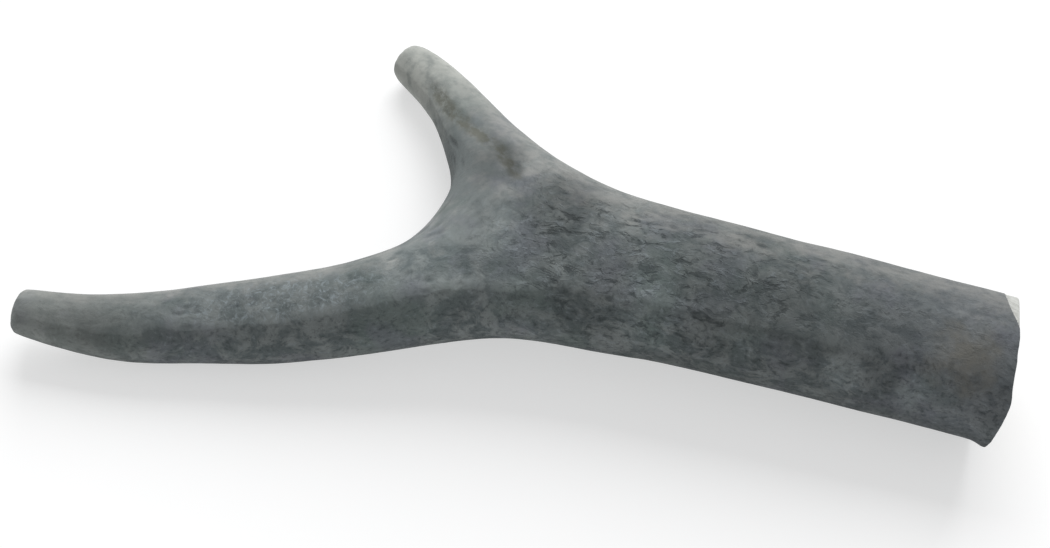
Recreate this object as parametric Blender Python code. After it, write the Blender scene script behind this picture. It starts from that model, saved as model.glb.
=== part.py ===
"""Forked deer antler chew, sawn off across the beam and blunt across one tine.

The antler lies on a table: the sawn beam points along +X, its two tines point along -X, and the upper tine
leans away towards +Y. The origin is the middle of its box, on the table.
It grew as one piece. The solid is parted only at the main fork, into the beam and the two tines.
"""

import math
from typing import NamedTuple

import bmesh
import bpy
from mathutils import Vector, noise

MM = 0.001
UP = Vector((0.0, 0.0, 1.0))

# Ribs: the cross-sections that the antler is drawn through, in millimetres.
CORNERS = 12
TOP, UNDER = CORNERS // 4, 3 * CORNERS // 4
SMOOTHING = 2
# A smoothed cage shrinks inside its corners by this share, so the corners stand out by the same.
SWELL = 6 / (4 + 2 * math.cos(2 * math.pi / CORNERS))


class Rib(NamedTuple):
    """One cross-section: where its middle is, and half its width across and half its depth upright."""

    x: float
    y: float
    z: float
    wide: float
    deep: float


BEAM = (
    Rib(100.5, -39.0, 14.3, 14.0, 13.1),
    Rib(84.0, -33.3, 14.5, 14.2, 13.2),
    Rib(66.0, -27.9, 14.8, 14.6, 13.5),
    Rib(50.0, -23.2, 15.0, 14.6, 13.5),
    Rib(37.0, -19.3, 15.2, 14.9, 13.6),
    Rib(26.0, -15.9, 15.2, 15.8, 13.5),
    Rib(16.5, -13.4, 15.2, 16.5, 13.2),
    Rib(6.5, -9.6, 15.0, 19.3, 12.5),
)
LOWER_TINE = (
    Rib(-12.5, -17.3, 13.6, 10.5, 9.9),
    Rib(-19.5, -18.9, 12.2, 9.6, 9.0),
    Rib(-28.5, -20.2, 10.6, 9.1, 8.6),
    Rib(-39.0, -21.1, 9.2, 8.7, 8.3),
    Rib(-50.5, -21.5, 8.1, 8.0, 7.7),
    Rib(-62.0, -21.9, 7.3, 7.3, 7.0),
    Rib(-73.0, -22.4, 7.3, 6.5, 6.2),
    Rib(-83.5, -21.2, 8.2, 5.4, 5.2),
    Rib(-98.0, -18.6, 9.6, 4.1, 3.9),
)
UPPER_TINE = (
    Rib(-4.0, 19.8, 10.8, 7.2, 6.8),
    Rib(-8.5, 29.7, 8.6, 5.9, 5.6),
    Rib(-13.4, 38.4, 6.6, 5.2, 5.0),
    Rib(-18.5, 44.9, 5.2, 4.6, 4.4),
    Rib(-20.3, 46.8, 4.9, 3.5, 3.4),
)

# The crotch is a rounded seam between the tines: half an ellipse from the top of the fork round to its underside.
CROTCH = Vector((-9.4, 7.2, 12.6))


class Cut(NamedTuple):
    """A flat cut: a point on it and the direction of what falls away."""

    point: Vector
    away: Vector


SAWN_BUTT = Cut(Vector((92.4, -36.3, 14.4)), Vector((0.973, -0.136, -0.184)))
SAWN_TIP = Cut(Vector((-92.8, -19.6, 9.4)), Vector((-0.97, 0.21, 0.11)))
RIM_CHIP = Cut(Vector((91.6, -29.0, 26.0)), Vector((0.40, 0.30, 0.86)))

# Where the tines part from the beam, and the gap that neighbouring solids keep.
UPPER_SPLIT = Cut(Vector((-0.5, 14.0, 13.0)), Vector((-0.25, 0.97, 0.0)))
LOWER_SPLIT = Cut(Vector((-10.0, -13.0, 13.0)), Vector((-0.99, -0.13, 0.0)))
PARTING_GAP = 0.3

# Relief of the grown surface, in millimetres: low lumps, and flutes that run along each limb.
LUMP_SIZE, LUMP_HEIGHT = 15.0, 0.35
FLUTE_WIDTH, FLUTE_HEIGHT, FLUTE_STRETCH = 4.5, 0.3, 7.0
# The flutes turn from one limb's direction to the next over this length.
FLUTE_TURN = 18.0

ANTLER_GREY = (0.16, 0.175, 0.175, 1.0)
ANTLER_ROUGHNESS = 0.78


def clear_scene():
    """Removes whatever the scene already holds."""
    for thing in list(bpy.data.objects):
        bpy.data.objects.remove(thing)


def tangents(ribs):
    """The direction of growth at each rib, from the ribs on either side of it."""
    middles = [Vector(rib[:3]) for rib in ribs]
    last = len(middles) - 1
    return [(middles[min(i + 1, last)] - middles[max(i - 1, 0)]).normalized() for i in range(last + 1)]


def ring(mesh, rib, growth):
    """Twelve corners round one rib, square to its growth, from the back over the top to the underside."""
    across = growth.cross(UP).normalized()
    upright = across.cross(growth)
    middle = Vector(rib[:3])
    corners = []
    for corner in range(CORNERS):
        turn = 2 * math.pi * corner / CORNERS
        place = middle + across * rib.wide * SWELL * math.cos(turn) + upright * rib.deep * SWELL * math.sin(turn)
        corners.append(mesh.verts.new(place * MM))
    return corners


def skin(mesh, first, second):
    """Joins two rings with a band of quads."""
    for corner in range(CORNERS):
        after = (corner + 1) % CORNERS
        mesh.faces.new((first[corner], second[corner], second[after], first[after]))


def crotch_seam(mesh, top, under):
    """The corners between the top and the underside of the fork, round the crotch."""
    middle = (top.co + under.co) / 2
    reach = CROTCH * MM - middle
    rise = (top.co - under.co) / 2
    steps = CORNERS // 2
    seam = []
    for step in range(1, steps):
        turn = math.pi * step / steps
        seam.append(mesh.verts.new(middle + reach * math.sin(turn) + rise * math.cos(turn)))
    return seam


def antler_cage():
    """The coarse closed cage: the beam's rings, the fork and both tines."""
    mesh = bmesh.new()
    beam = [ring(mesh, rib, growth) for rib, growth in zip(BEAM, tangents(BEAM))]
    fork = beam[-1]
    seam = crotch_seam(mesh, fork[TOP], fork[UNDER])
    upper_root = [*fork[: TOP + 1], *seam, *fork[UNDER:]]
    lower_root = [*reversed(seam[:3]), *fork[TOP : UNDER + 1], *reversed(seam[3:])]
    upper = [ring(mesh, rib, growth) for rib, growth in zip(UPPER_TINE, tangents(UPPER_TINE))]
    lower = [ring(mesh, rib, growth) for rib, growth in zip(LOWER_TINE, tangents(LOWER_TINE))]
    for limb in (beam, [upper_root, *upper], [lower_root, *lower]):
        for first, second in zip(limb, limb[1:]):
            skin(mesh, first, second)
    for end in (beam[0], upper[-1], lower[-1]):
        mesh.faces.new(end)
    bmesh.ops.recalc_face_normals(mesh, faces=mesh.faces)
    return mesh


def smoothed(cage):
    """The cage as Blender's Subdivision Surface rounds it."""
    data = bpy.data.meshes.new("cage")
    cage.to_mesh(data)
    cage.free()
    holder = bpy.data.objects.new("cage", data)
    bpy.context.scene.collection.objects.link(holder)
    rounding = holder.modifiers.new("rounding", "SUBSURF")
    rounding.levels = rounding.render_levels = SMOOTHING
    graph = bpy.context.evaluated_depsgraph_get()
    mesh = bmesh.new()
    mesh.from_object(holder, graph)
    bpy.data.objects.remove(holder)
    return mesh


def past(cut, place):
    """How far a place is past a plane, from 0 well before it to 1 well past it."""
    distance = (place - cut.point).dot(cut.away.normalized())
    return min(1.0, max(0.0, 0.5 + distance / FLUTE_TURN))


def flutes(place):
    """Height of the flutes at a place, between -1 and 1: noise that is drawn out along each limb."""
    upper = past(UPPER_SPLIT, place)
    lower = past(LOWER_SPLIT, place) * (1.0 - upper)
    height = 0.0
    for ribs, share in ((BEAM, 1.0 - upper - lower), (UPPER_TINE, upper), (LOWER_TINE, lower)):
        growth = (Vector(ribs[-1][:3]) - Vector(ribs[0][:3])).normalized()
        along = place.dot(growth)
        squeezed = place - growth * along * (1.0 - 1.0 / FLUTE_STRETCH)
        height += share * noise.noise(squeezed / FLUTE_WIDTH)
    return height


def grow_relief(mesh):
    """Low lumps and flutes, raised and sunk square to the surface."""
    mesh.normal_update()
    places = []
    for vert in mesh.verts:
        place = vert.co / MM
        height = LUMP_HEIGHT * noise.noise(place / LUMP_SIZE) + FLUTE_HEIGHT * flutes(place)
        places.append(vert.co + vert.normal * height * MM)
    for vert, place in zip(mesh.verts, places):
        vert.co = place


def saw(mesh, cut, gap=0.0):
    """Cuts off what lies past a plane, and closes the cut with one flat face."""
    away = cut.away.normalized()
    everything = [*mesh.verts, *mesh.edges, *mesh.faces]
    made = bmesh.ops.bisect_plane(
        mesh, geom=everything, dist=1e-7, plane_co=(cut.point - away * gap) * MM, plane_no=away, clear_outer=True
    )
    rim = [part for part in made["geom_cut"] if isinstance(part, bmesh.types.BMEdge)]
    bmesh.ops.holes_fill(mesh, edges=rim, sides=0)
    bmesh.ops.recalc_face_normals(mesh, faces=mesh.faces)


def turned(cut):
    """The same plane, keeping its other side."""
    return Cut(cut.point, -cut.away)


def antler_material(name):
    """Dry grey antler: matt, faintly green."""
    material = bpy.data.materials.new(name)
    material.use_nodes = True
    shader = material.node_tree.nodes["Principled BSDF"]
    shader.inputs["Base Color"].default_value = ANTLER_GREY
    shader.inputs["Roughness"].default_value = ANTLER_ROUGHNESS
    shader.inputs["Metallic"].default_value = 0.0
    return material


def ground(mesh):
    """Where the antler touches the table, under the middle of its box."""
    places = [vert.co for vert in mesh.verts]
    low = Vector(map(min, zip(*places)))
    high = Vector(map(max, zip(*places)))
    return Vector(((low.x + high.x) / 2, (low.y + high.y) / 2, low.z))


def limb(name, whole, cuts):
    """One named solid: the whole antler cut back to that limb, and set down over the origin."""
    mesh = whole.copy()
    for cut in cuts:
        saw(mesh, cut, PARTING_GAP / 2)
    bmesh.ops.translate(mesh, verts=mesh.verts, vec=-ground(whole))
    data = bpy.data.meshes.new(name)
    mesh.to_mesh(data)
    mesh.free()
    data.shade_smooth()
    data.set_sharp_from_angle(angle=math.radians(35))
    data.materials.append(antler_material(name))
    bpy.context.scene.collection.objects.link(bpy.data.objects.new(name, data))


def main():
    """Builds the antler and parts it at its fork."""
    clear_scene()
    whole = smoothed(antler_cage())
    grow_relief(whole)
    for cut in (SAWN_BUTT, SAWN_TIP, RIM_CHIP):
        saw(whole, cut)
    limb("main_beam", whole, (UPPER_SPLIT, LOWER_SPLIT))
    limb("upper_tine", whole, (turned(UPPER_SPLIT),))
    limb("lower_tine", whole, (UPPER_SPLIT, turned(LOWER_SPLIT)))
    whole.free()


main()
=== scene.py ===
"""A forked deer antler chew on a pale studio floor.

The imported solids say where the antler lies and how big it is. Its skin is grown again here over the same
ribs, as one closed piece that is fine enough to carry furrows, flutes, pits and the pores of the sawn bone,
and it stands for all three solids. Lengths are in millimetres until a mesh is made.
"""

import logging
import math
from dataclasses import dataclass
from enum import Enum
from functools import cached_property
from typing import Any, Callable, NamedTuple, Sequence

import bmesh
import bpy
import numpy as np
from bpy.types import Material, Mesh, NodeSocket, Object
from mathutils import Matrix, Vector, noise


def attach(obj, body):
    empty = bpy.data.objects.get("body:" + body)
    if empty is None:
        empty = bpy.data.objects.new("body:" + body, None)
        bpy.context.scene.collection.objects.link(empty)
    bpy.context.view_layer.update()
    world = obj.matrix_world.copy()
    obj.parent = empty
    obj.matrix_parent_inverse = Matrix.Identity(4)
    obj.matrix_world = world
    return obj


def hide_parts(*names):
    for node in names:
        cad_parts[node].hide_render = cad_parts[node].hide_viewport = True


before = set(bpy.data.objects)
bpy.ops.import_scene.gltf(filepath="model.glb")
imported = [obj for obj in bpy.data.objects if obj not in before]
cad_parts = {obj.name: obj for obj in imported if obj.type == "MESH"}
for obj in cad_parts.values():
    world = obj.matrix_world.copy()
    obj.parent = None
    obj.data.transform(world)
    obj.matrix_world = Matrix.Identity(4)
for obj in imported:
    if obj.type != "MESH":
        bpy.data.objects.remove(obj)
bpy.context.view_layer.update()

LOG = logging.getLogger("antler")
MM = 0.001
UP = Vector((0.0, 0.0, 1.0))
TO_MM = (1.0 / MM, 1.0 / MM, 1.0 / MM)
WHITE = (1.0, 1.0, 1.0, 1.0)
# How thick the dense wall of the sawn bone is.
WALL = 4.2

Point = tuple[float, float, float]
Colour = tuple[float, float, float]
Vert = bmesh.types.BMVert
Face = bmesh.types.BMFace
Ring = list[Vert]

# Attributes that the mesh carries for its relief and its finish.
STRAIGHT = "straight"
SAWN = "sawn"
INWARD = "inward"
PIT = "pit"
PORE = "pore"
KEEL = "keel"
FURROW = "furrow"


class Surface(Enum):
    """The antler's two surfaces, by material name."""

    GROWN = "antler_grown"
    BONE = "antler_sawn_bone"


def placed(name: str, data: Any) -> Object:
    """A new object in the scene, at its origin.

    Args:
        name: The object's name.
        data: What it holds, such as a mesh, a light or a camera.

    Returns:
        The object.
    """
    made = bpy.data.objects.new(name, data)
    bpy.context.scene.collection.objects.link(made)
    return made


def plain(holder: Object) -> Mesh:
    """Turns an object with modifiers into a plain mesh.

    Args:
        holder: The object, which is removed.

    Returns:
        A new mesh, as the modifiers leave it.
    """
    bpy.context.view_layer.update()
    graph = bpy.context.evaluated_depsgraph_get()
    mesh = bpy.data.meshes.new_from_object(holder.evaluated_get(graph))
    holder.modifiers.clear()
    bpy.data.objects.remove(holder)
    return mesh


def read_rows(items: Any, key: str) -> np.ndarray:
    """Reads a vector of each of a mesh's items.

    Args:
        items: The items.
        key: The vector's name.

    Returns:
        One row of three numbers for each item.
    """
    values = np.empty(len(items) * 3, np.float32)
    items.foreach_get(key, values)
    return values.reshape(-1, 3)


def as_mesh(net: bmesh.types.BMesh, name: str) -> Mesh:
    """Writes an edit mesh out as a named mesh, and frees it.

    Args:
        net: The edit mesh.
        name: The new mesh's name.

    Returns:
        The new mesh.
    """
    mesh = bpy.data.meshes.new(name)
    net.to_mesh(mesh)
    net.free()
    return mesh


def move_vertices(mesh: Mesh, places: np.ndarray) -> None:
    """Moves a mesh's vertices to places, one row for each."""
    mesh.vertices.foreach_set("co", places.ravel())
    mesh.update()


class Rib(NamedTuple):
    """One cross-section: where its middle is, and half its width across and half its depth upright."""

    x: float
    y: float
    z: float
    wide: float
    deep: float

    @property
    def middle(self) -> Vector:
        """The rib's middle."""
        return Vector((self.x, self.y, self.z))


class Spur(NamedTuple):
    """Where a cut stands proud of its plane, because the saw ran off: round a point, over a width."""

    centre: Point
    width: float
    length: float


@dataclass(frozen=True)
class SawCut:
    """A nearly flat cut through the antler.

    Attributes:
        point: A point on the plane.
        away: The direction of what falls away.
        ease: Radius that the rim is worn to.
        dome: How far the middle of the cut stands proud of its rim.
        rings: How many rings of faces the cut has.
        spurs: Where it isn't flat.
    """

    point: Point
    away: Point
    ease: float
    dome: float
    rings: int
    spurs: tuple[Spur, ...] = ()

    @property
    def outward(self) -> Vector:
        """The direction of what falls away, with a length of 1."""
        return Vector(self.away).normalized()

    def proud_at(self, place: Vector) -> float:
        """How far the cut stands proud of its plane.

        Args:
            place: A place by the cut.

        Returns:
            The distance there.
        """
        total = 0.0
        for spur in self.spurs:
            offset = place - Vector(spur.centre)
            aside = (offset - self.outward * offset.dot(self.outward)).length
            total += spur.length * math.exp(-((aside / spur.width) ** 2))
        return total


@dataclass(frozen=True)
class BareCorner:
    """A corner of the rim where the skin has come off and the bone shows. It lies past two planes.

    Attributes:
        edge_point: A point on the plane of its long edge.
        edge_away: The direction from that edge towards the bone.
        end_point: A point on the plane of its short edge.
        end_away: The direction from that edge towards the bone.
        step: How wide the slope at its edges is.
        depth: How far the bone lies below the skin.
        reach: How far round those points the skin is cut along the edges.
    """

    edge_point: Point
    edge_away: Point
    end_point: Point
    end_away: Point
    step: float
    depth: float
    reach: float

    def edges(self) -> tuple[tuple[Vector, Vector], ...]:
        """The two planes, each a point and a direction."""
        sides = ((self.edge_point, self.edge_away), (self.end_point, self.end_away))
        return tuple((Vector(point), Vector(away).normalized()) for point, away in sides)

    def share_at(self, place: Vector) -> float:
        """How bare a place is, from 0 on the skin to 1 on the bone."""
        past = min((place - point).dot(away) for point, away in self.edges())
        return min(max(past / self.step, 0.0), 1.0)


@dataclass(frozen=True)
class Furrow:
    """A long groove or ridge of the grown surface.

    Attributes:
        mark: The attribute that records where it is, or nothing if no finish reads it.
        width: Half its width.
        height: How far it stands up, or below zero how deep it is.
        fade: Over what length it dies out at each end.
        route: Points that it follows on the straightened antler.
    """

    mark: str
    width: float
    height: float
    fade: float
    route: tuple[Point, ...]

    def share_at(self, places: np.ndarray) -> np.ndarray:
        """How much of the furrow's height there is at places on the straightened antler.

        Args:
            places: One row for each place.

        Returns:
            One share for each place, from 0 to 1.
        """
        points = np.array(self.route)
        nearest = np.full(len(places), np.inf)
        along = np.zeros(len(places))
        run = 0.0
        for start, end in zip(points, points[1:]):
            stretch = end - start
            length = float(np.linalg.norm(stretch))
            share = np.clip((places - start) @ stretch / length**2, 0.0, 1.0)
            distance = np.linalg.norm(places - start - share[:, None] * stretch, axis=1)
            closer = distance < nearest
            nearest = np.where(closer, distance, nearest)
            along = np.where(closer, run + share * length, along)
            run += length
        ends = np.clip(np.minimum(along, run - along) / self.fade, 0.0, 1.0)
        return np.exp(-((nearest / self.width) ** 2)) * ends


class Patch(NamedTuple):
    """A patch of skin that is lighter or darker than the rest, round a place on the straightened antler."""

    centre: Point
    reach: float
    tone: float


def operator(operation: str, number_first: bool = False) -> Callable[["Wire", "Wire | float"], "Wire"]:
    """Makes the method of a Wire that stands for one of Python's operators.

    Args:
        operation: The Math node's operation.
        number_first: Whether the other term comes before the wire.

    Returns:
        The method.
    """

    def method(wire: "Wire", other: "Wire | float") -> "Wire":
        """One Math node over both terms.

        Args:
            wire: The wire whose operator it is.
            other: The other term.

        Returns:
            The result.
        """
        first, second = (other, wire) if number_first else (wire, other)
        sockets = {"Value": first, "Value_001": second}
        return wire.bench.add("ShaderNodeMath", {"operation": operation}, sockets)

    return method


class Wire:
    """An output socket of a node. Python's arithmetic on it adds Math nodes."""

    __add__, __radd__ = operator("ADD"), operator("ADD", True)
    __sub__, __rsub__ = operator("SUBTRACT"), operator("SUBTRACT", True)
    __mul__, __rmul__ = operator("MULTIPLY"), operator("MULTIPLY", True)
    __truediv__, __rtruediv__ = operator("DIVIDE"), operator("DIVIDE", True)
    __gt__ = operator("GREATER_THAN")

    def __init__(self, bench: "Bench", socket: NodeSocket) -> None:
        """Keeps the socket and the bench that further nodes are added by."""
        self.bench = bench
        self.socket = socket

    def clamped(self) -> "Wire":
        """The value held between 0 and 1."""
        return self.bench.add("ShaderNodeClamp", {}, {"Value": self})

    def band(self, low: float, high: float) -> "Wire":
        """Eases from 0 at low to 1 at high, and is level outside them."""
        sockets = {"Value": self, "From Min": low, "From Max": high}
        return self.bench.add("ShaderNodeMapRange", {"interpolation_type": "SMOOTHSTEP"}, sockets)


class Bench:
    """Adds nodes to one tree."""

    def __init__(self, tree: bpy.types.NodeTree) -> None:
        """Takes the tree."""
        self.tree = tree

    @staticmethod
    def _socket(sockets: Any, key: str) -> NodeSocket:
        """The socket with that identifier, or else that name."""
        matches = [socket for socket in sockets if socket.identifier == key]
        return matches[0] if matches else sockets[key]

    def add(
        self,
        kind: str,
        settings: dict[str, Any] | None = None,
        sockets: dict[str, Any] | None = None,
        output: str | None = None,
    ) -> Wire:
        """Adds one node.

        Args:
            kind: The node's type.
            settings: Its properties, which are set before its sockets.
            sockets: Values and links, by the socket's identifier or name.
            output: The output that is wanted, or the first if none is named.

        Returns:
            That output.
        """
        node = self.tree.nodes.new(kind)
        for name, value in (settings or {}).items():
            setattr(node, name, value)
        for name, value in (sockets or {}).items():
            socket = self._socket(node.inputs, name)
            if isinstance(value, Wire):
                self.tree.links.new(value.socket, socket)
            elif socket.type == "RGBA":
                socket.default_value = (*value, 1.0)
            else:
                socket.default_value = value
        return Wire(self, self._socket(node.outputs, output) if output else node.outputs[0])

    def vector(self, operation: str, first: Wire, second: Wire | Point, output: str | None = None) -> Wire:
        """One Vector Math node over two vectors."""
        sockets = {"Vector": first, "Vector_001": second}
        return self.add("ShaderNodeVectorMath", {"operation": operation}, sockets, output)

    def scaled(self, vector: Wire, factors: Wire | Point) -> Wire:
        """A vector times a number along each axis."""
        return self.vector("MULTIPLY", vector, factors)

    def moved(self, vector: Wire, step: Wire | Point) -> Wire:
        """A vector plus a step."""
        return self.vector("ADD", vector, step)

    def times(self, vector: Wire, factor: Wire) -> Wire:
        """A vector or colour times one number."""
        return self.add("ShaderNodeVectorMath", {"operation": "SCALE"}, {"Vector": vector, "Scale": factor})

    def near(self, vector: Wire, point: Point) -> Wire:
        """The distance from a point."""
        return self.vector("DISTANCE", vector, point, "Value")

    def dot(self, vector: Wire, direction: Point) -> Wire:
        """The share of a vector along a direction."""
        return self.vector("DOT_PRODUCT", vector, direction, "Value")

    def warped(self, vector: Wire, grain: float, reach: float) -> Wire:
        """A vector pushed about by noise, by up to about half of reach."""
        push = self.moved(self.noise(vector, grain, 2.0, output="Color"), (-0.5, -0.5, -0.5))
        return self.moved(vector, self.scaled(push, (reach, reach, reach)))

    def noise(
        self,
        vector: Wire,
        grain: Wire | float,
        detail: float,
        roughness: float = 0.5,
        warp: float = 0.0,
        output: str = "Fac",
    ) -> Wire:
        """Noise about 0.5, with features about as large as grain."""
        sockets = {"Vector": vector, "Scale": 1.0 / grain, "Detail": detail, "Roughness": roughness}
        return self.add("ShaderNodeTexNoise", {}, {**sockets, "Distortion": warp}, output)

    def blend(self, share: Wire | float, first: Wire | Colour, second: Wire | Colour) -> Wire:
        """Mixes two colours, by a share of the second."""
        sockets = {"Factor_Float": share, "A_Color": first, "B_Color": second}
        return self.add("ShaderNodeMix", {"data_type": "RGBA"}, sockets, "Result_Color")

    def attribute(self, name: str, output: str = "Fac") -> Wire:
        """An attribute of the mesh, in a material."""
        settings = {"attribute_type": "GEOMETRY", "attribute_name": name}
        return self.add("ShaderNodeAttribute", settings, {}, output)


Coat = tuple[Wire, Colour]


class MaterialBench(Bench):
    """Adds nodes to a new material. What a finish often reads is added when it is first asked for."""

    def __init__(self, surface: Surface) -> None:
        """Starts the material of a surface.

        Args:
            surface: Which of the object's surfaces it is for.
        """
        self.material = bpy.data.materials.new(surface.value)
        self.material.use_nodes = True
        super().__init__(self.material.node_tree)

    @cached_property
    def place(self) -> Wire:
        """Where a place lies on the antler, in millimetres."""
        return self.scaled(self.add("ShaderNodeTexCoord", {}, {}, "Object"), TO_MM)

    @cached_property
    def facing(self) -> Wire:
        """Which way the surface faces."""
        return self.add("ShaderNodeTexCoord", {}, {}, "Normal")

    @cached_property
    def straight(self) -> Wire:
        """Where a place lies on the straightened antler, in millimetres."""
        return self.attribute(STRAIGHT, "Vector")

    @cached_property
    def run(self) -> Wire:
        """How far a place is from the fork, above 0 along the beam and below 0 along the tines."""
        return self.dot(self.straight, (1.0, 0.0, 0.0))

    def grain(self, still: Wire) -> tuple[Wire, Wire]:
        """The mottle and the grit.

        Args:
            still: 0 where they run along the growth, and 1 where they keep to the antler as it lies.

        Returns:
            Noise about 0.5 with patches of about 4 mm, and the same with grains under 1 mm.
        """
        pairs = []
        for coordinates in (self.straight, self.place):
            flow = self.warped(self.scaled(coordinates, (0.8, 1.0, 1.0)), 6.0, 3.5)
            grit = self.noise(self.moved(flow, (17.0, 4.0, 9.0)), 0.85, 5.0, 0.66)
            pairs.append((self.noise(flow, 4.2, 8.0, 0.62, 0.5), grit))
        mottle, grit = (first + (second - first) * still for first, second in zip(*pairs))
        return mottle, grit

    def tufts(self, step: Point, grain: float) -> Wire:
        """Short ragged strokes, roughly along the growth, with gaps between their patches.

        Args:
            step: Where the pattern is taken from.
            grain: About how wide a stroke is.

        Returns:
            1 on the strokes and 0 off them.
        """
        moved = self.moved(self.straight, step)
        fibre = self.warped(self.scaled(moved, (0.55, 1.0, 1.0)), 3.6, 5.0)
        gaps = self.noise(moved, 5.0, 3.0, 0.6)
        return self.noise(fibre, grain, 4.0, 0.62, 0.3).band(0.50, 0.64) * gaps.band(0.34, 0.60)

    def coated(self, colour: Wire, coats: Sequence[Coat]) -> Wire:
        """Blends coats over a colour in turn, each by its share.

        Args:
            colour: What lies under them all.
            coats: Their shares and colours, the lowest first.

        Returns:
            The colour with its coats.
        """
        for share, coat in coats:
            colour = self.blend(share, colour, coat)
        return colour

    def dressed(
        self, colour: Wire, roughness: Wire, relief: Wire, depth: float, strength: float, gloss: float
    ) -> Material:
        """Links the finish to the shader.

        Args:
            colour: The base colour.
            roughness: The roughness.
            relief: Height of the bumps.
            depth: How far a bump of 1 stands up, in millimetres.
            strength: How strong the bumps are.
            gloss: The specular level.

        Returns:
            The material.
        """
        shader = self.tree.nodes["Principled BSDF"]
        bumps = {"Strength": strength, "Distance": depth * MM, "Height": relief}
        normal = self.add("ShaderNodeBump", {}, bumps)
        for name, wire in (("Base Color", colour), ("Roughness", roughness), ("Normal", normal)):
            self.tree.links.new(wire.socket, shader.inputs[name])
        shader.inputs["Specular IOR Level"].default_value = gloss
        return self.material


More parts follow.
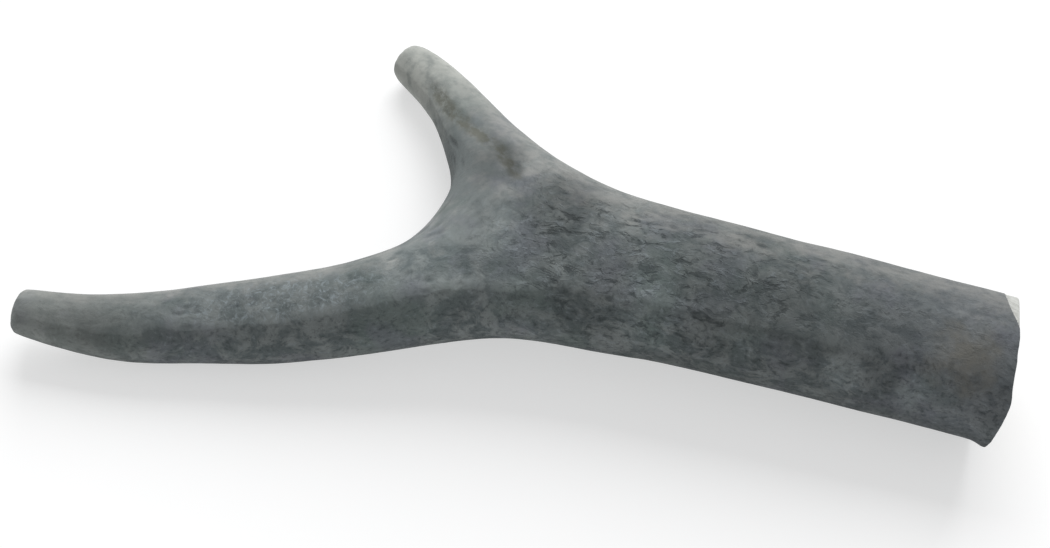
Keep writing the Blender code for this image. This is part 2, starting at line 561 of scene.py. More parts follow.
@dataclass(frozen=True)
class GrownFinish:
    """The antler's grown skin: dry, matt and slate grey, mottled like felt, with dark strokes where it forks.

    It is palest at its tips. Its back, which faces the light, is made paler by painted light, and low on its
    front it is darkest by painted shade. The crotch and the tip are places on the antler as it lies, and the
    others are on the straightened antler.
    """

    deep: Colour = (0.092, 0.110, 0.112)
    pale: Colour = (0.186, 0.205, 0.203)
    green: Colour = (0.112, 0.142, 0.134)
    violet: Colour = (0.146, 0.153, 0.178)
    warm: Colour = (0.285, 0.286, 0.274)
    worn: Colour = (0.398, 0.410, 0.382)
    dark: Colour = (0.032, 0.041, 0.043)
    fleck: Colour = (0.255, 0.290, 0.312)
    frost: Colour = (0.280, 0.322, 0.345)
    olive: Colour = (0.094, 0.097, 0.076)
    brown: Colour = (0.182, 0.175, 0.152)
    brown_spot: Point = (84.0, -6.5, 11.0)
    brown_reach: float = 9.0
    rough_centre: Point = (14.0, -2.0, 11.0)
    rough_reach: float = 27.0
    rough_squeeze: float = 0.6
    frost_centre: Point = (-43.5, -10.5, 7.0)
    frost_reach: float = 29.0
    frost_squeeze: float = 5.0
    crotch: Point = (-10.2, 7.5, 12.2)
    crotch_reach: float = 16.0
    tip: Point = (-93.0, -19.0, 9.0)
    tip_reach: float = 7.0
    upright: Point = (0.0, 0.45, 0.89)
    backward: Point = (0.25, 0.95, 0.0)
    patches: tuple[Patch, ...] = (
        Patch((4.0, 4.0, 12.0), 13.0, 0.62),
        Patch((-14.4, 6.0, 9.0), 8.5, 0.60),
        Patch((-10.2, 5.3, 9.8), 4.0, 0.72),
        Patch((-4.0, -5.0, 11.2), 6.0, 1.22),
        Patch((-18.0, -9.0, 9.0), 13.0, 1.30),
        Patch((26.0, -11.5, 8.0), 11.0, 1.56),
        Patch((83.0, -12.5, 5.0), 11.0, 1.28),
        Patch((50.0, -4.1, 12.3), 9.0, 0.88),
        Patch((76.3, -12.5, 5.2), 4.2, 1.40),
        Patch((62.6, -12.6, 5.3), 4.6, 1.45),
        Patch((45.0, -12.8, 5.0), 4.6, 1.22),
        Patch((-84.0, -9.5, 5.0), 17.0, 0.82),
        Patch((-90.0, -13.5, 2.0), 8.0, 1.16),
        Patch((-4.0, -14.3, 7.6), 9.0, 1.10),
        Patch((81.0, -3.0, 12.0), 10.0, 1.12),
    )

    def material(self) -> Material:
        """Builds the material.

        Returns:
            The material.
        """
        bench = MaterialBench(Surface.GROWN)
        wander = bench.noise(bench.moved(bench.place, (77.0, 1.0, 6.0)), 12.0, 3.0, 0.6) - 0.5
        web = bench.near(bench.place, self.crotch).band(self.crotch_reach, self.crotch_reach * 0.5)
        worn_tip = bench.near(bench.place, self.tip).band(self.tip_reach, self.tip_reach * 0.5)
        mottle, grit = bench.grain((web + worn_tip).clamped())
        # How far each place faces up and back, towards the light. Low faces, turned away from it, get painted
        # shade in the tone below.
        height = bench.dot(bench.facing, self.upright) + wander * 0.7 + (mottle - 0.5) * 0.35
        low = height.band(0.49, 0.31)
        # Where the skin faces the light behind. Dark strokes and pits are fainter there, as part of the
        # painted light on the back.
        behind = bench.dot(bench.facing, self.backward).band(0.20, 0.45)
        crowd = bench.near(self._shortened(bench), self.rough_centre).band(self.rough_reach, 9.0)
        rough = 0.06 + bench.run.band(-8.0, 4.0) * 0.34 + crowd * 0.60
        rough = rough * (1.0 - web) * (1.0 - behind * 0.75)
        strokes = bench.tufts((0.0, 0.0, 0.0), 1.45) * rough
        tufts = bench.tufts((19.0, 8.0, 35.0), 1.15) * rough
        calm = bench.dot(bench.straight, (0.0, 1.0, 0.0)).band(-9.0, -3.0) * bench.run.band(0.0, -14.0)
        even = (calm * 0.62 + web * 0.38).clamped()
        fine = 0.68 - calm * 0.34 - web * 0.08 + low * 0.5

        shade = (mottle + low * (mottle - 0.5)).band(0.34, 0.68)
        # The green is stronger on the tines and at the crotch, and on faces turned away from the light, where
        # it is a cool painted shade.
        cool = 0.35 + bench.run.band(-60.0, -10.0) * 0.45 + low * 0.4 + web * 0.5
        coats = [
            *self._clouds(bench, cool),
            (grit.band(0.50, 0.34) * fine * 0.46, self.dark),
            (grit.band(0.54, 0.72) * fine * 0.32, self.fleck),
            (tufts * 0.40, self.fleck),
            (bench.attribute(KEEL) * 0.22, self.pale),
            *self._stains_and_painted_light(bench),
            (strokes * 0.70, self.dark),
            (bench.attribute(PIT) * (0.28 - behind * 0.20), self.dark),
        ]
        colour = bench.blend(0.5 + (shade - 0.5) * (1.0 - even), self.deep, self.pale)
        colour = bench.times(bench.coated(colour, coats), self._tone_and_painted_shade(bench, wander, height))
        dull = (0.72 + mottle * 0.24).clamped()
        relief = mottle * 0.6 + grit * fine * 0.7 + tufts * 0.35 - strokes * 0.4
        return bench.dressed(colour, dull, relief, depth=0.45, strength=0.75, gloss=0.3)

    def _shortened(self, bench: MaterialBench) -> Wire:
        """The straightened antler with its limbs shortened, so that what is drawn on it comes out long."""
        return bench.scaled(bench.straight, (self.rough_squeeze, 1.0, 1.0))

    def _clouds(self, bench: MaterialBench, cool: Wire) -> list[Coat]:
        """Green clouds, and violet ones that are denser by the butt.

        Args:
            bench: The material's bench.
            cool: How strong the green is.

        Returns:
            Their coats.
        """
        green = bench.noise(bench.place, 16.0, 3.0, 0.55).band(0.46, 0.66)
        violet = bench.noise(bench.moved(bench.place, (41.0, 7.0, 13.0)), 12.0, 4.0, 0.6).band(0.50, 0.68)
        butt = bench.dot(bench.place, (1.0, 0.0, 0.0)).band(50.0, 86.0)
        return [(green * cool * 0.6, self.green), (violet * 0.45 + butt * 0.34, self.violet)]

    def _stains_and_painted_light(self, bench: MaterialBench) -> list[Coat]:
        """What is local: the painted light on the back, worn tines, frosted flecks, olive furrow and brown
        spot.

        Args:
            bench: The material's bench.

        Returns:
            Their coats.
        """
        ragged = bench.noise(bench.moved(bench.place, (9.0, 2.0, 70.0)), 6.0, 6.0, 0.65) - 0.5
        spots = bench.noise(bench.moved(bench.place, (2.0, 60.0, 8.0)), 3.0, 4.0, 0.6).band(0.30, 0.62)
        # Painted light: the side that faces the light behind is painted a paler warm grey.
        back = (bench.dot(bench.facing, self.backward) + ragged * 1.5).band(0.0, 0.62)
        run = bench.run + ragged * 22.0
        upper = bench.dot(bench.straight, (0.0, 1.0, 0.0)).band(-1.0, 2.0)
        frost = bench.noise(bench.moved(bench.straight, (5.0, 5.0, 50.0)), 1.3, 5.0, 0.72, 1.0)
        slender = (1.0, self.frost_squeeze, self.frost_squeeze)
        centre = tuple(size * factor for size, factor in zip(self.frost_centre, slender))
        region = bench.near(bench.scaled(bench.straight, slender), centre)
        region = region.band(self.frost_reach, self.frost_reach * 0.4)
        broken = bench.noise(self._shortened(bench), 2.6, 5.0, 0.66)
        furrow = bench.attribute(FURROW) * (0.48 + broken.band(0.36, 0.62) * 0.70)
        olive = (furrow + (broken - 0.5) * 0.7).band(0.10, 0.98)
        brown = (bench.near(bench.straight, self.brown_spot) + ragged * 15.0).band(self.brown_reach, 1.5)
        return [
            # The painted light on the back, with spots in it.
            (back * (0.26 + spots * 0.44), self.warm),
            (run.band(-22.0, -50.0) * upper * (0.40 + spots * 0.46), self.worn),
            (run.band(-62.0, -94.0) * 0.26, self.worn),
            (frost.band(0.47, 0.68) * region * 0.62, self.frost),
            (olive * 0.76, self.olive),
            (brown * (0.35 + spots * 0.35), self.brown),
        ]

    def _tone_and_painted_shade(self, bench: MaterialBench, wander: Wire, height: Wire) -> Wire:
        """How light each place is: the beam is darker than the tines, and painted shade darkens it low on the
        front.

        Args:
            bench: The material's bench.
            wander: Noise about 0 that makes borders ragged.
            height: How far a place faces up and back, towards the light, which sets the painted shade.

        Returns:
            A factor for the colour.
        """
        run = bench.run + wander * 26.0
        # Painted shade: darker where the surface faces away from the light, eased a little part way down, and
        # darkest on the lowest faces.
        shade = 0.17 * height.band(0.49, 0.31) - 0.08 * height.band(0.10, -0.40)
        shade = shade + 0.26 * height.band(-0.30, -0.80)
        tone = (1.14 - 0.26 * run.band(2.0, 34.0)) * (1.0 - shade)
        for patch in self.patches:
            away = bench.near(bench.straight, patch.centre) + wander * 10.0
            tone = tone * (1.0 + away.band(patch.reach, patch.reach * 0.2) * (patch.tone - 1.0))
        return tone


@dataclass(frozen=True)
class BoneFinish:
    """Sawn antler: a dense pale wall round a brown, porous core, with faint saw marks."""

    wall: Colour = (0.520, 0.530, 0.505)
    stain: Colour = (0.230, 0.228, 0.208)
    core: Colour = (0.260, 0.215, 0.155)
    hollow: Colour = (0.060, 0.045, 0.030)
    wall_thickness: float = WALL
    border: float = 0.8

    def material(self) -> Material:
        """Builds the material.

        Returns:
            The material.
        """
        bench = MaterialBench(Surface.BONE)
        depth = bench.attribute(INWARD) + bench.noise(bench.place, 3.0, 4.0, 0.6) * 2.4 - 1.2
        speckle = bench.noise(bench.place, 0.6, 4.0, 0.7)
        mark = bench.noise(bench.scaled(bench.place, (1.0, 0.12, 2.2)), 0.9, 3.0, 0.6)
        inner = depth.band(self.wall_thickness - self.border, self.wall_thickness + self.border)

        colour = bench.blend(mark.band(0.40, 0.62) * 0.35, self.wall, self.stain)
        coats = [
            (inner, self.core),
            (speckle.band(0.52, 0.70) * 0.35, self.stain),
            (depth.band(0.5, 0.0) * 0.6, self.stain),
            (bench.attribute(PORE) * 0.9, self.hollow),
        ]
        relief = mark * 0.6 + speckle * 0.4
        dull = 0.6 + speckle * 0.3
        return bench.dressed(bench.coated(colour, coats), dull, relief, depth=0.25, strength=0.5, gloss=0.4)


class ReliefBench(Bench):
    """Adds the nodes of the antler's relief."""

    def named(self, name: str, kind: str) -> Wire:
        """One of the mesh's own attributes."""
        return self.add("GeometryNodeInputNamedAttribute", {"data_type": kind}, {"Name": name})

    def squeezed(self, straight: Wire, stretch: Wire) -> Wire:
        """The straightened antler, shortened so that what is drawn on it comes out long."""
        factors = self.add("ShaderNodeCombineXYZ", {}, {"X": 1.0 / stretch, "Y": 1.0, "Z": 1.0})
        return self.scaled(straight, factors)

    def waves(self, vector: Wire, width: Wire, height: Wire) -> Wire:
        """Soft waves of a width, up to a height above and below the surface."""
        return (self.noise(vector, width, 1.5) - 0.5) * 2.0 * height

    def scatter(self, given: dict[str, Wire], spacing: Wire, share: Wire) -> Wire:
        """Points over the faces, about as far apart as the spacing where the share is 1.

        Args:
            given: What the modifier is given.
            spacing: In millimetres.
            share: How many of the points are kept, from 0 to 1.

        Returns:
            The points.
        """
        sockets = {
            "Mesh": given["Geometry"],
            "Distance Min": spacing * 0.6 * MM,
            "Density Max": 1.6 / (spacing * spacing * MM * MM),
            "Density Factor": share,
            "Seed": given["Seed"],
        }
        settings = {"distribute_method": "POISSON"}
        return self.add("GeometryNodeDistributePointsOnFaces", settings, sockets, "Points")

    def dents(self, points: Wire, space: Wire, radius: Wire) -> Wire:
        """How deep each place lies in the dent round its nearest point.

        Args:
            points: Where the dents are.
            space: The coordinates that distances are measured in, in millimetres.
            radius: Radius of a dent there.

        Returns:
            The share of the dent's depth at each place, from 0 outside it to 1 at its middle.
        """
        set_out = self.add("GeometryNodeSetPosition", {}, {"Geometry": points, "Position": space})
        sockets = {"Target": set_out, "Source Position": space}
        distance = self.add("GeometryNodeProximity", {"target_element": "POINTS"}, sockets, "Distance")
        return (distance / radius).band(1.0, 0.15)


@dataclass(frozen=True)
class Relief:
    """The small relief that a Geometry Nodes tree raises on the antler. Lengths are in millimetres.

    Flutes and a finer rasp run along each limb. Pits are scattered over the grown skin, drawn out along the
    limb, and pores over the core of each cut. The tree stores where they are for the finishes.
    """

    stretch: float = 7.0
    flute_width: float = 4.5
    flute_height: float = 0.30
    rasp_width: float = 1.5
    rasp_height: float = 0.055
    pit_spacing: float = 2.6
    pit_radius: float = 0.7
    pit_length: float = 2.4
    pit_depth: float = 0.16
    pit_centre: Point = (12.0, 0.0, 11.0)
    pore_spacing: float = 1.1
    pore_radius: float = 0.55
    pore_depth: float = 0.55
    wall_thickness: float = WALL
    least_sawn: float = 0.25
    seed: int = 7

    def _sizes(self) -> dict[str, float]:
        """The tree's number inputs, by name."""
        sizes = {name.replace("_", " ").title(): value for name, value in vars(self).items()}
        return {name: value for name, value in sizes.items() if isinstance(value, float)}

    def _tree(self) -> bpy.types.GeometryNodeTree:
        """Builds the tree, with a named input for each size, for the seed and for the two finishes.

        Returns:
            The tree.
        """
        tree = bpy.data.node_groups.new("antler_relief", "GeometryNodeTree")
        kinds = {"Geometry": "Geometry", **dict.fromkeys(self._sizes(), "Float")}
        kinds |= {"Seed": "Int", "Grown": "Material", "Bone": "Material"}
        for name, kind in kinds.items():
            tree.interface.new_socket(name, in_out="INPUT", socket_type=f"NodeSocket{kind}")
        tree.interface.new_socket("Geometry", in_out="OUTPUT", socket_type="NodeSocketGeometry")
        bench = ReliefBench(tree)
        group = tree.nodes.new("NodeGroupInput")
        given = {socket.name: Wire(bench, socket) for socket in group.outputs if socket.name}

        straight = bench.named(STRAIGHT, "FLOAT_VECTOR")
        sawn = bench.named(SAWN, "FLOAT")
        inward = bench.named(INWARD, "FLOAT")
        fluted = bench.squeezed(straight, given["Stretch"])
        flutes = bench.waves(fluted, given["Flute Width"], given["Flute Height"])
        pitted = bench.squeezed(straight, given["Pit Length"])
        rasp = bench.waves(pitted, given["Rasp Width"], given["Rasp Height"])

        clusters = bench.noise(straight, 11.0, 2.0).band(0.40, 0.60)
        crowd = 0.06 + 0.5 * bench.near(straight, self.pit_centre).band(60.0, 15.0)
        share = (1.0 - sawn) * clusters * crowd
        pits = bench.scatter(given, given["Pit Spacing"], share)
        pit = bench.dents(pits, pitted, given["Pit Radius"]) * (1.0 - sawn)

        metric = bench.scaled(bench.add("GeometryNodeInputPosition"), TO_MM)
        in_core = sawn * (inward > given["Wall Thickness"])
        pores = bench.scatter(given, given["Pore Spacing"], in_core)
        width = given["Pore Radius"] * (0.35 + 1.3 * bench.noise(metric, 2.0, 2.0).band(0.3, 0.7))
        pore = bench.dents(pores, metric, width) * sawn

        height = (flutes + rasp) * (1.0 - sawn)
        rise = (height - pit * given["Pit Depth"] - pore * given["Pore Depth"]) * MM
        offset = bench.times(bench.add("GeometryNodeInputNormal"), rise)
        grown = bench.add("GeometryNodeSetPosition", {}, {"Geometry": given["Geometry"], "Offset": offset})
        for name, value in ((PIT, pit), (PORE, pore)):
            settings = {"data_type": "FLOAT", "domain": "POINT"}
            sockets = {"Geometry": grown, "Name": name, "Value": value}
            grown = bench.add("GeometryNodeStoreNamedAttribute", settings, sockets)
        grown = bench.add("GeometryNodeRealizeInstances", {}, {"Geometry": grown})
        grown = bench.add("GeometryNodeSetMaterial", {}, {"Geometry": grown, "Material": given["Grown"]})
        sockets = {"Geometry": grown, "Material": given["Bone"], "Selection": sawn > given["Least Sawn"]}
        grown = bench.add("GeometryNodeSetMaterial", {}, sockets)
        tree.links.new(grown.socket, tree.nodes.new("NodeGroupOutput").inputs["Geometry"])
        return tree

    def grow(self, mesh: Mesh, finishes: dict[Surface, Material]) -> Mesh:
        """Raises the relief on a mesh and gives it its finishes.

        Args:
            mesh: The smooth antler, with its attributes.
            finishes: A material for each surface.

        Returns:
            A new plain mesh.
        """
        holder = placed("relief", mesh)
        modifier = holder.modifiers.new("relief", "NODES")
        modifier.node_group = self._tree()
        values: dict[str, Any] = {**self._sizes(), "Seed": self.seed}
        values |= {"Grown": finishes[Surface.GROWN], "Bone": finishes[Surface.BONE]}
        for item in modifier.node_group.interface.items_tree:
            if item.in_out == "INPUT" and item.name in values:
                modifier[item.identifier] = values[item.name]
        return plain(holder)


class Cage:
    """A coarse closed cage over the ribs, which remembers each corner's place on a straightened antler.

    The straightened antler has its fork at 0, its beam along +X and both tines side by side along -X.
    """

    def __init__(self, corners: int) -> None:
        """Starts a cage whose ribs have that many corners.

        Args:
            corners: How many corners a rib has.
        """
        self.corners = corners
        # A smoothed cage shrinks inside its corners by this share, so the corners stand out by the same.
        self.swell = 6 / (4 + 2 * math.cos(math.tau / corners))
        self.mesh = bmesh.new()
        self.straight = self.mesh.verts.layers.float_vector.new(STRAIGHT)

    def corner(self, place: Vector, straight: Sequence[float]) -> Vert:
        """One corner of the cage.

        Args:
            place: Where it is, in millimetres.
            straight: Where it is on the straightened antler.

        Returns:
            The corner.
        """
        vert = self.mesh.verts.new(place * MM)
        vert[self.straight] = Vector(straight)
        return vert

    def ring(self, rib: Rib, growth: Vector, run: float, lane: float) -> Ring:
        """The corners round one rib, square to its growth, from the back over the top to the underside.

        Args:
            rib: The cross-section.
            growth: The limb's direction there.
            run: How far along the straightened antler the rib is.
            lane: How far to the side the limb runs there.

        Returns:
            The corners in order.
        """
        across = growth.cross(UP).normalized()
        upright = across.cross(growth)
        corners = []
        for step in range(self.corners):
            turn = math.tau * step / self.corners
            out = rib.wide * math.cos(turn)
            rise = rib.deep * math.sin(turn)
            place = rib.middle + (across * out + upright * rise) * self.swell
            corners.append(self.corner(place, (run, lane + out, rise)))
        return corners

    def limb(self, ribs: Sequence[Rib], root: Vector, lane: float) -> list[Ring]:
        """The rings of one limb, whose length is counted down from the first rib.

        Args:
            ribs: Its cross-sections, in order.
            root: Where the limb starts to be measured.
            lane: Its side step on the straightened antler.

        Returns:
            The rings in order.
        """
        middles = [rib.middle for rib in ribs]
        last = len(ribs) - 1
        run = (middles[0] - root).length
        rings = []
        for index, rib in enumerate(ribs):
            growth = (middles[min(index + 1, last)] - middles[max(index - 1, 0)]).normalized()
            if index > 0:
                run += (middles[index] - middles[index - 1]).length
            rings.append(self.ring(rib, growth, -run, lane))
        return rings

    def seam(self, top: Vert, under: Vert, crotch: Vector) -> Ring:
        """The corners round the crotch.

        Args:
            top: The corner on top of the fork.
            under: The corner below it.
            crotch: The innermost point between the tines.

        Returns:
            The corners between the two, on half an ellipse.
        """
        middle = (top.co + under.co) / (2 * MM)
        half = (top.co - under.co) / (2 * MM)
        reach = crotch - middle
        steps = self.corners // 2
        seam = []
        for step in range(1, steps):
            turn = math.pi * step / steps
            place = middle + reach * math.sin(turn) + half * math.cos(turn)
            straight = (-reach.length * math.sin(turn), 0.0, half.length * math.cos(turn))
            seam.append(self.corner(place, straight))
        return seam

    def skin(self, rings: Sequence[Ring]) -> None:
        """Covers a limb with bands of quads.

        Args:
            rings: Its rings of corners, in order.
        """
        for first, second in zip(rings, rings[1:]):
            for step in range(self.corners):
                after = (step + 1) % self.corners
                self.mesh.faces.new((first[step], second[step], second[after], first[after]))

    def finished(self) -> Mesh:
        """The cage as a mesh."""
        bmesh.ops.recalc_face_normals(self.mesh, faces=self.mesh.faces)
        return as_mesh(self.mesh, "cage")


@dataclass
class Blank:
    """The antler while it is sawn to length and its rims are worn round. Lengths are in millimetres.

    The wear lines are shares of a rim's radius, and a snap is how near a vertex counts as on a plane.
    """

    uncut: Mesh
    wear_lines: tuple[float, ...] = (1.0, 0.55, 0.25, 0.08)
    line_snap: float = 0.01
    cut_snap: float = 0.02
    corner_snap: float = 0.03
    rim_merge: float = 0.12
    weld: float = 0.004
    least_sides: int = 16
    same_way: float = 0.999
    stretched: float = 14.0

    def __post_init__(self) -> None:
        """Starts from the uncut antler, and adds the attributes of its cuts."""
        self.mesh = bmesh.new()
        self.mesh.from_mesh(self.uncut)
        layers = self.mesh.verts.layers
        for name in (SAWN, INWARD):
            layers.float.new(name)
        self.sawn, self.inward = layers.float[SAWN], layers.float[INWARD]
        self.straight = layers.float_vector[STRAIGHT]

    def _slit(self, spot: Vector, away: Vector, snap: float, **choices: Any) -> list[Any]:
        """Cuts the mesh along a plane.

        Args:
            spot: A point on the plane, in metres.
            away: The plane's direction.
            snap: How near a vertex counts as on the plane.
            **choices: What else Blender's Bisect is told, such as which parts it cuts.

        Returns:
            The vertices and edges on the plane.
        """
        choices = {"geom": [*self.mesh.verts, *self.mesh.edges, *self.mesh.faces], **choices}
        made = bmesh.ops.bisect_plane(self.mesh, dist=snap * MM, plane_co=spot, plane_no=away, **choices)
        return made["geom_cut"]

    def bare(self, corner: BareCorner) -> None:
        """Takes the skin off a corner: cuts lines along its edges, and lowers what lies past them.

        Args:
            corner: The corner.
        """
        for point, away in corner.edges():
            for slope in (0.0, corner.step):
                middles = ((face, face.calc_center_median() / MM) for face in self.mesh.faces)
                near = [face for face, middle in middles if (middle - point).length < corner.reach]
                parts = dict.fromkeys(part for face in near for part in (*face.verts, *face.edges, face))
                self._slit((point + away * slope) * MM, away, self.corner_snap, geom=list(parts))
        self.mesh.normal_update()
        drops = [(vert, corner.share_at(vert.co / MM)) for vert in self.mesh.verts if vert.co.x > 0.0]
        for vert, share in drops:
            if share > 0.0:
                vert.co -= vert.normal * share * corner.depth * MM
                vert[self.sawn] = share
                vert[self.inward] = 1.0

    def saw(self, cut: SawCut) -> None:
        """Cuts off what lies past a plane and closes the cut with one face.

        Args:
            cut: The cut.
        """
        point, away = Vector(cut.point) * MM, cut.outward
        for share in self.wear_lines:
            self._slit(point - away * cut.ease * share * MM, away, self.line_snap)
        made = self._slit(point, away, self.cut_snap, clear_outer=True)
        rim = [part for part in made if isinstance(part, Vert)]
        for vert in rim:
            vert.co -= away * (vert.co - point).dot(away)
        bmesh.ops.remove_doubles(self.mesh, verts=rim, dist=self.rim_merge * MM)
        bmesh.ops.holes_fill(self.mesh, edges=[edge for edge in self.mesh.edges if edge.is_boundary])
        bmesh.ops.recalc_face_normals(self.mesh, faces=self.mesh.faces)

    def wear(self, cut: SawCut) -> None:
        """Wears a cut's rim round, meshes its face in rings and draws out where it stands proud.

        Args:
            cut: The cut.
        """
        flat = [
            face
            for face in self.mesh.faces
            if len(face.verts) > self.least_sides and face.normal.dot(cut.outward) > self.same_way
        ]
        for face in flat:
            self._wear_rim(face, cut)
            self._ring_face(face, cut)
        if cut.spurs:
            self._draw_out(cut)

    def _wear_rim(self, face: Face, cut: SawCut) -> None:
        """Draws the skin in as it nears a cut, so that the rim is round.

        Args:
            face: The cut's one face.
            cut: The cut.
        """
        away, ease = cut.outward, cut.ease * MM
        middle = face.calc_center_median()
        reach = max((vert.co - middle).length for vert in face.verts) + ease
        for vert in self.mesh.verts:
            offset = vert.co - middle
            behind = max(0.0, -offset.dot(away))
            if behind < ease and offset.length < reach:
                drawn = ease - math.sqrt(ease**2 - (ease - behind) ** 2)
                side = offset - away * offset.dot(away)
                vert.co -= side.normalized() * min(drawn, side.length)

    def _ring_face(self, face: Face, cut: SawCut) -> None:
        """Replaces a cut's one face by rings of small ones, and records how far in from the rim they are.

        Args:
            face: The cut's one face.
            cut: The cut.
        """
        rim = list(face.verts)
        middle = face.calc_center_median()
        self.mesh.faces.remove(face)

        def spot(vert: Vert, share: float) -> Vert:
            """A new vertex part of the way from a rim vertex to the middle.

            Args:
                vert: The rim vertex.
                share: How far in it is: 0 at the rim and 1 at the middle.

            Returns:
                The new vertex.
            """
            dome = cut.outward * cut.dome * MM * (1.0 - (1.0 - share) ** 2)
            made = self.mesh.verts.new(vert.co.lerp(middle, share) + dome)
            made[self.sawn] = 1.0
            made[self.inward] = (vert.co - middle).length * share / MM
            made[self.straight] = vert[self.straight]
            return made

        count = len(rim)
        outer = rim
        for ring in range(1, cut.rings):
            inner = [spot(vert, ring / cut.rings) for vert in rim]
            for index in range(count):
                after = (index + 1) % count
                self.mesh.faces.new((outer[index], outer[after], inner[after], inner[index]))
            outer = inner
        hub = spot(rim[0], 1.0)
        for index in range(count):
            self.mesh.faces.new((outer[index], outer[(index + 1) % count], hub))

    def _draw_out(self, cut: SawCut) -> None:
        """Stretches the end of a limb where its cut stands proud of its plane.

        Args:
            cut: The cut.
        """
        point, away = Vector(cut.point), cut.outward
        for vert in self.mesh.verts:
            behind = (point - vert.co / MM).dot(away)
            if behind < self.stretched:
                share = 1.0 - max(behind, 0.0) / self.stretched
                share *= share * (3.0 - 2.0 * share)
                vert.co += away * share * cut.proud_at(vert.co / MM) * MM

    def finished(self) -> Mesh:
        """The cut antler as a smoothly shaded mesh.

        Returns:
            The mesh, in metres.
        """
        bmesh.ops.remove_doubles(self.mesh, verts=self.mesh.verts, dist=self.weld * MM)
        data = as_mesh(self.mesh, "antler")
        data.shade_smooth()
        return data


@dataclass
class Antler:
    """The antler: its sizes, its mesh and its finishes. Lengths are in millimetres.

    The ribs of each limb run outward from the fork. The straightened tines run two lanes apart.
    """

    beam: tuple[Rib, ...] = (
        Rib(6.5, -9.6, 15.0, 19.3, 12.5),
        Rib(16.5, -13.4, 15.2, 16.5, 13.2),
        Rib(26.0, -15.9, 15.2, 15.8, 13.5),
        Rib(37.0, -19.3, 15.2, 14.9, 13.6),
        Rib(50.0, -23.2, 15.0, 14.6, 13.5),
        Rib(66.0, -27.9, 14.8, 14.6, 13.5),
        Rib(84.0, -33.3, 14.5, 14.2, 13.2),
        Rib(100.5, -39.0, 14.3, 14.0, 13.1),
        Rib(118.0, -45.0, 14.2, 13.9, 13.0),
    )
    lower_tine: tuple[Rib, ...] = (
        Rib(-12.5, -17.3, 13.6, 10.5, 9.9),
        Rib(-19.5, -18.9, 12.2, 9.6, 9.0),
        Rib(-28.5, -20.2, 10.6, 9.1, 8.6),
        Rib(-39.0, -21.1, 9.2, 8.7, 8.3),
        Rib(-50.5, -21.5, 8.1, 8.0, 7.7),
        Rib(-62.0, -21.9, 7.3, 7.3, 7.0),
        Rib(-73.0, -22.3, 7.3, 6.5, 6.2),
        Rib(-83.5, -21.0, 8.2, 5.4, 5.2),
        Rib(-98.0, -18.3, 9.6, 4.1, 3.9),
    )
    upper_tine: tuple[Rib, ...] = (
        Rib(-4.0, 19.8, 10.8, 7.1, 6.8),
        Rib(-8.4, 29.7, 8.6, 5.75, 5.6),
        Rib(-13.3, 38.4, 6.6, 5.05, 5.0),
        Rib(-18.5, 44.8, 5.2, 4.5, 4.4),
        Rib(-20.3, 46.6, 4.9, 3.4, 3.4),
    )
    crotch: Point = (-9.7, 7.1, 12.6)
    origin: tuple[float, float] = (0.79, -0.33)
    corners: int = 12
    rounding: int = 4
    lane: float = 9.5
    cuts: tuple[SawCut, ...] = (
        SawCut(
            (92.4, -36.3, 14.4),
            (0.979, -0.125, -0.1615),
            ease=0.35,
            dome=0.15,
            rings=40,
            spurs=(Spur((93.0, -23.0, 19.0), 8.7, 1.85), Spur((93.0, -49.3, 20.5), 3.4, 0.65)),
        ),
        SawCut((-93.0, -19.6, 9.4), (-0.97, 0.21, 0.11), ease=1.3, dome=0.45, rings=12),
    )
    corner: BareCorner = BareCorner(
        edge_point=(93.55, -31.5, 27.0),
        edge_away=(0.938, 0.261, 0.226),
        end_point=(91.0, -21.0, 19.5),
        end_away=(0.45, 0.0, 0.89),
        step=0.3,
        depth=0.22,
        reach=22.0,
    )
    lump_size: float = 15.0
    lump_height: float = 0.35
    furrows: tuple[Furrow, ...] = (
        Furrow(
            KEEL,
            width=2.3,
            height=0.6,
            fade=14.0,
            route=(
                (-78.0, -12.0, 5.6), (-61.0, -13.9, 5.6), (-45.0, -14.5, 6.2), (-26.0, -14.3, 7.2),
                (-10.7, -14.6, 7.8), (2.3, -14.2, 7.3), (9.3, -11.5, 8.8), (24.0, -10.8, 8.8),
                (58.0, -10.2, 8.8), (73.0, -10.6, 8.1),
            ),
        ),
        Furrow(
            FURROW,
            width=1.6,
            height=-0.4,
            fade=8.0,
            route=(
                (-46.0, 6.7, 4.0), (-31.0, 6.2, 5.0), (-22.0, 7.0, 7.4), (-15.5, 6.7, 8.7),
                (-10.2, 5.3, 9.8), (-4.5, 3.2, 11.0),
            ),
        ),
        Furrow(
            "",
            width=1.8,
            height=0.8,
            fade=5.0,
            route=((91.6, -13.8, 5.0), (91.6, -13.6, -3.0), (91.6, -9.5, -9.5)),
        ),
    )
    relief: Relief = Relief()
    grown: GrownFinish = GrownFinish()
    bone: BoneFinish = BoneFinish()

    def _cage(self) -> Mesh:
        """Builds the cage over the beam, the fork and both tines.

        Returns:
            The cage.
        """
        cage = Cage(self.corners)
        top, under = self.corners // 4, 3 * self.corners // 4
        fork = self.beam[0].middle
        across = (fork - self.beam[-1].middle).normalized().cross(UP).normalized()
        beam = self._beam_rings(cage)
        seam = cage.seam(beam[0][top], beam[0][under], Vector(self.crotch))
        upper_root = [*beam[0][: top + 1], *seam, *beam[0][under:]]
        lower_root = [*reversed(seam[:top]), *beam[0][top : under + 1], *reversed(seam[top:])]
        upper = cage.limb(self.upper_tine, fork + across * self.lane, self.lane)
        lower = cage.limb(self.lower_tine, fork - across * self.lane, -self.lane)
        cage.skin(beam)
        cage.skin([upper_root, *upper])
        cage.skin([lower_root, *lower])
        for end in (beam[-1], upper[-1], lower[-1]):
            cage.mesh.faces.new(end)
        return cage.finished()

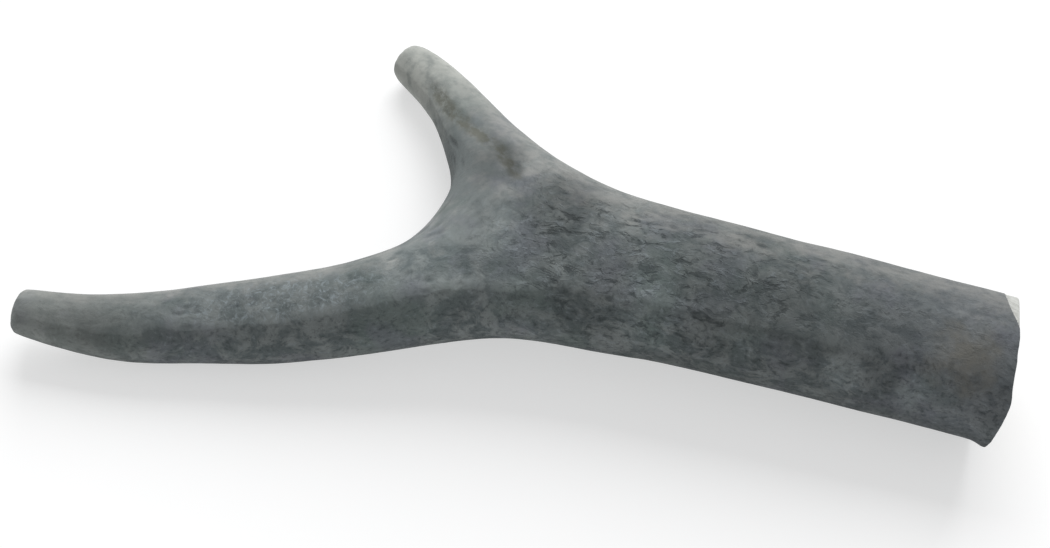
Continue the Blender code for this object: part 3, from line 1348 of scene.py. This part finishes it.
    def _beam_rings(self, cage: Cage) -> list[Ring]:
        """Draws the beam's rings, with their growth towards the fork.

        Args:
            cage: The cage that they are part of.

        Returns:
            The rings, from the fork to the butt.
        """
        towards_fork = tuple(reversed(self.beam))
        length = sum((a.middle - b.middle).length for a, b in zip(self.beam, self.beam[1:]))
        rings = cage.limb(towards_fork, towards_fork[0].middle, 0.0)
        for ring in rings:
            for vert in ring:
                vert[cage.straight] += Vector((length, 0.0, 0.0))
        return list(reversed(rings))

    def _rounded(self, data: Mesh) -> Mesh:
        """Rounds a mesh by Blender's Subdivision Surface.

        Args:
            data: The mesh.

        Returns:
            A new mesh.
        """
        holder = placed("rounded", data)
        rounding = holder.modifiers.new("rounding", "SUBSURF")
        rounding.levels = rounding.render_levels = self.rounding
        return plain(holder)

    def _smooth(self) -> Mesh:
        """Rounds the cage, and its straightened twin in the same way, which gives the attribute.

        Returns:
            The smooth antler.
        """
        cage = self._cage()
        twin = cage.copy()
        move_vertices(twin, read_rows(cage.attributes[STRAIGHT].data, "vector"))
        rounded = self._rounded(cage)
        straight = read_rows(self._rounded(twin).vertices, "co")
        rounded.attributes[STRAIGHT].data.foreach_set("vector", straight.ravel())
        return rounded

    def _swell(self, data: Mesh) -> None:
        """Raises the low lumps, the keel and the furrows, square to the surface.

        Args:
            data: The smooth antler.
        """
        places = read_rows(data.vertices, "co")
        normals = read_rows(data.vertices, "normal")
        straight = read_rows(data.attributes[STRAIGHT].data, "vector")
        grain = self.lump_size * MM
        height = np.array([noise.noise(Vector(place) / grain) for place in places]) * self.lump_height
        for furrow in self.furrows:
            share = furrow.share_at(straight)
            height += share * furrow.height
            if furrow.mark:
                marks = data.attributes.new(furrow.mark, "FLOAT", "POINT")
                marks.data.foreach_set("value", share.astype(np.float32))
        move_vertices(data, places + normals * height[:, None].astype(np.float32) * MM)

    def _grounded(self, data: Mesh) -> None:
        """Moves the mesh to where the solids lie, and sets it down.

        Args:
            data: The finished mesh.
        """
        places = read_rows(data.vertices, "co")
        across, along = self.origin
        move_vertices(data, places - np.array((across * MM, along * MM, places[:, 2].min()), np.float32))

    def build(self) -> Object:
        """Builds the antler, and has it ride on the frame in place of the three solids.

        Returns:
            The finished piece.
        """
        smooth = self._smooth()
        self._swell(smooth)
        blank = Blank(smooth)
        blank.bare(self.corner)
        for cut in self.cuts:
            blank.saw(cut)
        for cut in self.cuts:
            blank.wear(cut)
        finishes = {Surface.GROWN: self.grown.material(), Surface.BONE: self.bone.material()}
        data = self.relief.grow(blank.finished(), finishes)
        data.name = "antler_skin"
        self._grounded(data)
        piece = placed("antler_skin", data)
        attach(piece, "root")
        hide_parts("main_beam", "upper_tine", "lower_tine")
        return piece


@dataclass
class Studio:
    """A pale floor, soft light from behind and above, and the camera. Lengths are in millimetres."""

    floor_side: float = 4000.0
    floor_colour: Colour = (0.54, 0.543, 0.546)
    floor_glow: float = 0.52
    target: Point = (3.91, -4.17, -0.36)
    elevation: float = 55.0
    distance: float = 491.0
    lens: float = 85.0
    clip: tuple[float, float] = (0.01, 20.0)
    sky: float = 0.42
    key_side: float = 1400.0
    key_distance: float = 1700.0
    key_height: float = 42.0
    key_turn: float = 168.0
    key_share: float = 1.0

    def floor(self) -> Object:
        """Lays the floor.

        Returns:
            The floor.
        """
        mesh = bmesh.new()
        bmesh.ops.create_grid(mesh, x_segments=8, y_segments=8, size=self.floor_side / 2 * MM)
        data = as_mesh(mesh, "studio_floor")
        material = bpy.data.materials.new("studio_floor")
        material.use_nodes = True
        values = {
            "Base Color": (*self.floor_colour, 1.0),
            "Roughness": 0.9,
            "Specular IOR Level": 0.1,
            "Emission Color": WHITE,
            "Emission Strength": self.floor_glow,
        }
        for name, value in values.items():
            material.node_tree.nodes["Principled BSDF"].inputs[name].default_value = value
        data.materials.append(material)
        floor = placed("studio_floor", data)
        return floor

    def light(self) -> None:
        """Lights the antler: an even sky and one large softbox behind and above it."""
        world = bpy.data.worlds.new("studio_sky")
        world.use_nodes = True
        sky = world.node_tree.nodes["Background"].inputs
        sky["Color"].default_value = WHITE
        sky["Strength"].default_value = self.sky
        bpy.context.scene.world = world
        lamp = bpy.data.lights.new("softbox", "AREA")
        lamp.shape = "SQUARE"
        lamp.size = self.key_side * MM
        # A lamp of this power lights a white card that faces it to key_share of white.
        lamp.energy = self.key_share * math.pi**2 * (self.key_distance * MM) ** 2
        box = placed("softbox", lamp)
        turn, tilt = math.radians(self.key_turn), math.radians(self.key_height)
        way = Vector((math.sin(turn) * math.cos(tilt), -math.cos(turn) * math.cos(tilt), math.sin(tilt)))
        box.location = way * self.key_distance * MM
        box.rotation_euler = way.to_track_quat("Z", "Y").to_euler()

    def camera(self) -> None:
        """Sets up the camera and plain colours."""
        data = bpy.data.cameras.new("camera")
        data.lens = self.lens
        data.clip_start, data.clip_end = self.clip
        camera = placed("camera", data)
        tilt = math.radians(self.elevation)
        back = Vector((0.0, -math.cos(tilt), math.sin(tilt)))
        camera.location = (Vector(self.target) + back * self.distance) * MM
        camera.rotation_euler = (math.pi / 2 - tilt, 0.0, 0.0)
        bpy.context.scene.camera = camera
        bpy.context.scene.view_settings.view_transform = "Standard"

    def build(self) -> Object:
        """Sets up the light and the camera.

        Returns:
            The floor.
        """
        self.light()
        self.camera()
        return self.floor()


def main() -> None:
    """Builds the antler and the studio, and logs how many faces each has."""
    logging.basicConfig(level=logging.INFO, format="%(name)s: %(message)s")
    for part in (Antler(), Studio()):
        piece = part.build()
        LOG.info("%s: %d faces", piece.name, len(piece.data.polygons))
    bpy.context.view_layer.update()


if __name__ == "__main__":
    main()
